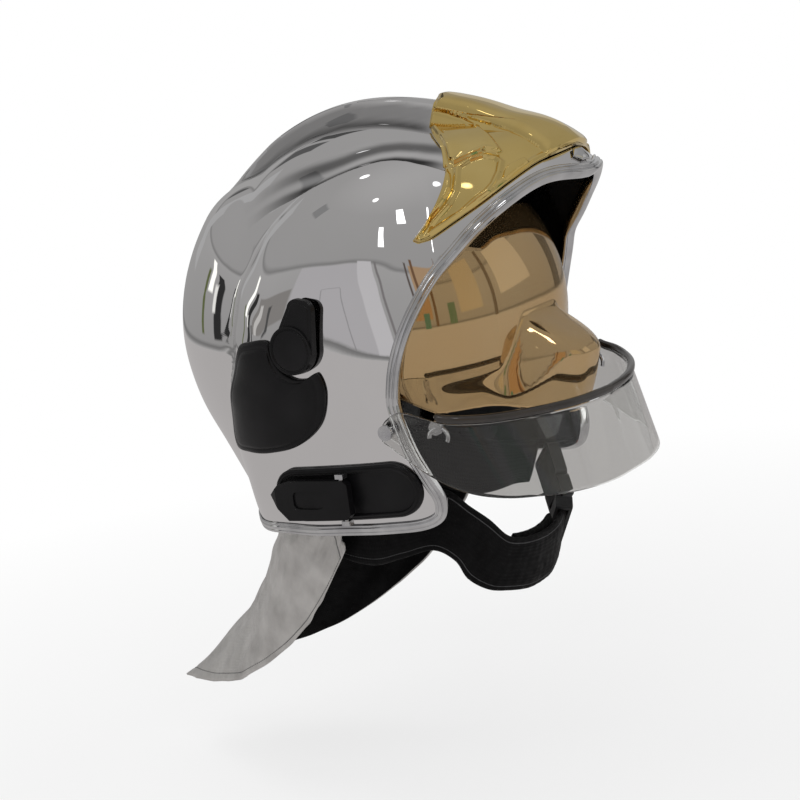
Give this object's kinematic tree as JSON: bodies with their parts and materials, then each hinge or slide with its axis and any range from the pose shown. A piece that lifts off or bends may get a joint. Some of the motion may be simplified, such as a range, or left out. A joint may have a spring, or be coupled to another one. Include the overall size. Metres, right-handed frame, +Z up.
{
  "type": "fire helmet",
  "caption": "Jet-style rescue helmet: mirror shell with crest, swing-down gilt eye visor, clear lower face shield, ratchet headband, padded chin strap and neck curtain.",
  "frame": {"origin": "middle of the headband, on the middle plane", "axes": "-Y forward out of the brow, +X the wearer's left, +Z up towards the crest"},
  "size_m": [0.2584, 0.417, 0.4298],
  "materials": {
    "chromed_shell": "mirror chrome plating on a moulded shell",
    "chromed_trim": "bright chromed moulding",
    "gilt_plate": "mirror gilt",
    "gilt_lens": "gilt-tinted mirrored lens",
    "clear_sheet": "clear sheet",
    "rim_rubber": "glossy dark rubber",
    "satin_black": "satin black",
    "black_plastic": "matt black",
    "grey_plastic": "matt dark grey",
    "red_button": "red",
    "steel": "bright steel",
    "liner_foam": "black expanded foam",
    "pad_cloth": "dark knitted cloth over foam",
    "brow_leather": "brown leather",
    "webbing": "black webbing",
    "padded_webbing": "black padded cloth",
    "aluminised_cloth": "aluminised cloth",
    "lining_cloth": "black cloth"
  },
  "bodies": {
    "helmet": {"outer_shell": "chromed_shell", "edge_trim": "chromed_trim", "front_plate": "gilt_plate", "impact_liner": "liner_foam", "crown_pad": "pad_cloth", "crown_straps": "webbing", "headband": "black_plastic", "brow_pad": "brow_leather", "nape_pad": "pad_cloth", "nape_housing": "black_plastic", "cheek_pad_left": "pad_cloth", "cheek_pad_right": "pad_cloth", "pivot_bush_left": "black_plastic", "pivot_bush_right": "black_plastic", "side_cover_left": "satin_black", "side_cover_right": "satin_black", "mask_plate_left": "satin_black", "mask_plate_right": "satin_black", "latch_pin_left": "steel", "latch_pin_right": "steel", "shield_clip_left": "steel", "shield_clip_right": "steel", "shield_pin_left": "steel", "shield_pin_right": "steel", "neck_curtain": "aluminised_cloth", "curtain_lining": "lining_cloth", "curtain_studs": "steel", "chin_strap_right": "padded_webbing", "chin_strap_left": "padded_webbing", "chin_cup": "padded_webbing", "strap_anchor_left": "steel", "strap_anchor_right": "steel", "buckle_socket": "black_plastic", "buckle_plug": "black_plastic", "strap_slider": "black_plastic", "strap_hangers": "black_plastic", "pad_post_left": "black_plastic", "pad_post_right": "black_plastic"},
    "visor": {"visor_lens": "gilt_lens", "visor_arm_left": "black_plastic", "visor_arm_right": "black_plastic", "pivot_bolt_left": "steel", "pivot_bolt_right": "steel", "visor_knob_left": "black_plastic", "visor_knob_right": "black_plastic"},
    "shield": {"face_shield": "clear_sheet", "shield_rim": "rim_rubber"},
    "ratchet": {"ratchet_knob": "black_plastic", "ratchet_pinion": "steel"},
    "rack_l": {"rack_left": "grey_plastic"},
    "rack_r": {"rack_right": "grey_plastic"},
    "latch_l": {"mask_latch_left": "satin_black"},
    "latch_r": {"mask_latch_right": "satin_black"},
    "button": {"buckle_button": "red_button"}
  },
  "joints": [
    {"name": "visor_swing", "type": "hinge", "parent": "helmet", "child": "visor", "pos_m": [0, -0.014, 0.017], "axis": [-1, 0, 0], "range_deg": [0, 52]},
    {"name": "shield_swing", "type": "hinge", "parent": "helmet", "child": "shield", "pos_m": [0, -0.074, -0.039], "axis": [-1, 0, 0], "range_deg": [0, 40]},
    {"name": "ratchet_turn", "type": "hinge", "parent": "helmet", "child": "ratchet", "pos_m": [0, 0, -0.036], "axis": [0, 1, 0], "range_deg": [-90, 90]},
    {"name": "rack_left_travel", "type": "hinge", "parent": "helmet", "child": "rack_l", "pos_m": [0, 0.026, 0], "axis": [0, 0, 1], "range_deg": [-11, 11]},
    {"name": "rack_right_travel", "type": "hinge", "parent": "helmet", "child": "rack_r", "pos_m": [0, 0.026, 0], "axis": [0, 0, 1], "range_deg": [-11, 11]},
    {"name": "latch_left_swing", "type": "hinge", "parent": "helmet", "child": "latch_l", "pos_m": [0.12568, -0.036, -0.082], "axis": [0, 0, -1], "range_deg": [0, 75], "stiffness_Nm_per_rad": 0.02, "springref_deg": -17.19},
    {"name": "latch_right_swing", "type": "hinge", "parent": "helmet", "child": "latch_r", "pos_m": [-0.12568, -0.036, -0.082], "axis": [0, 0, 1], "range_deg": [0, 75], "stiffness_Nm_per_rad": 0.02, "springref_deg": -17.19},
    {"name": "buckle_press", "type": "slide", "parent": "helmet", "child": "button", "axis": [-0.7675, 0.6303, 0.1172], "range_m": [0, 0.0015], "stiffness_N_per_m": 400, "springref_m": -0.002}
  ],
  "couplings": [
    {"joint": "rack_left_travel", "follows": "ratchet_turn", "ratio": -0.12121},
    {"joint": "rack_right_travel", "follows": "ratchet_turn", "ratio": 0.12121}
  ]
}
